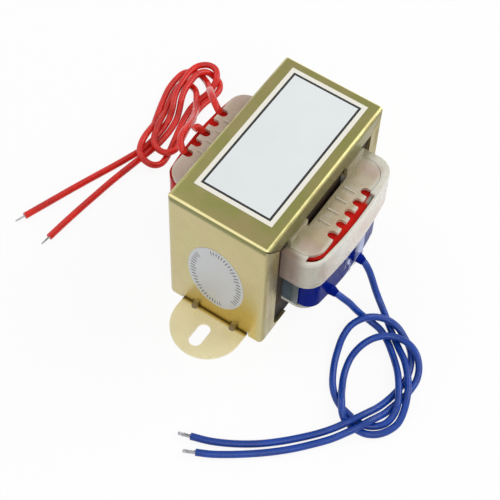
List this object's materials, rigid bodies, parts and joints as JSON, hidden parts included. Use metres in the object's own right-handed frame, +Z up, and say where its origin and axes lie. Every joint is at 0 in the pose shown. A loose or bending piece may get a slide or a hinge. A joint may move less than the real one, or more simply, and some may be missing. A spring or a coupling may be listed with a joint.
{
  "type": "laminated chassis transformer",
  "caption": "Laminated mains transformer in a folded steel clamp frame with slotted mounting ears, a split bobbin with taped windings, and flying leads with stripped ends.",
  "frame": {"origin": "centre of the clamp frame's footprint, on the surface that the ears rest on", "axes": "+X from ear to ear, towards the end with no sticker; +Y towards the side that the primary leads leave from; +Z up, away from the mounting surface"},
  "size_m": [0.1172, 0.1317, 0.0494],
  "materials": {
    "plated_steel": "yellow zinc plate, smooth and fairly glossy",
    "core_steel": "varnished silicon steel edges, dark and dull",
    "clear_plastic": "translucent natural moulded plastic",
    "enamelled_copper": "enamelled copper wire",
    "red_tape": "glossy polyester tape",
    "blue_tape": "glossy polyester tape",
    "clear_film": "creased clear insulating film",
    "liner_film": "grey-blue insulating sheet",
    "label_paper": "matt printed paper",
    "silver_paper": "silver-grey satin paper",
    "red_lead": "satin PVC insulation",
    "blue_lead": "satin PVC insulation",
    "tinned_wire": "tinned copper strands"
  },
  "bodies": {
    "root": {"shell": "plated_steel", "e_laminations": "core_steel", "i_laminations": "core_steel", "bobbin": "clear_plastic", "primary_winding": "enamelled_copper", "primary_tape": "red_tape", "primary_cover": "clear_plastic", "secondary_winding": "enamelled_copper", "secondary_tape": "blue_tape", "joint_cover": "clear_film", "window_liners": "liner_film", "label": "label_paper", "round_sticker": "silver_paper", "primary_stub": "red_lead", "primary_lead_a": "red_lead", "primary_lead_a_tip": "tinned_wire", "primary_lead_b": "red_lead", "primary_lead_b_tip": "tinned_wire", "secondary_lead_a": "blue_lead", "secondary_lead_a_tip": "tinned_wire", "secondary_lead_b": "blue_lead", "secondary_lead_b_tip": "tinned_wire"}
  },
  "joints": []
}
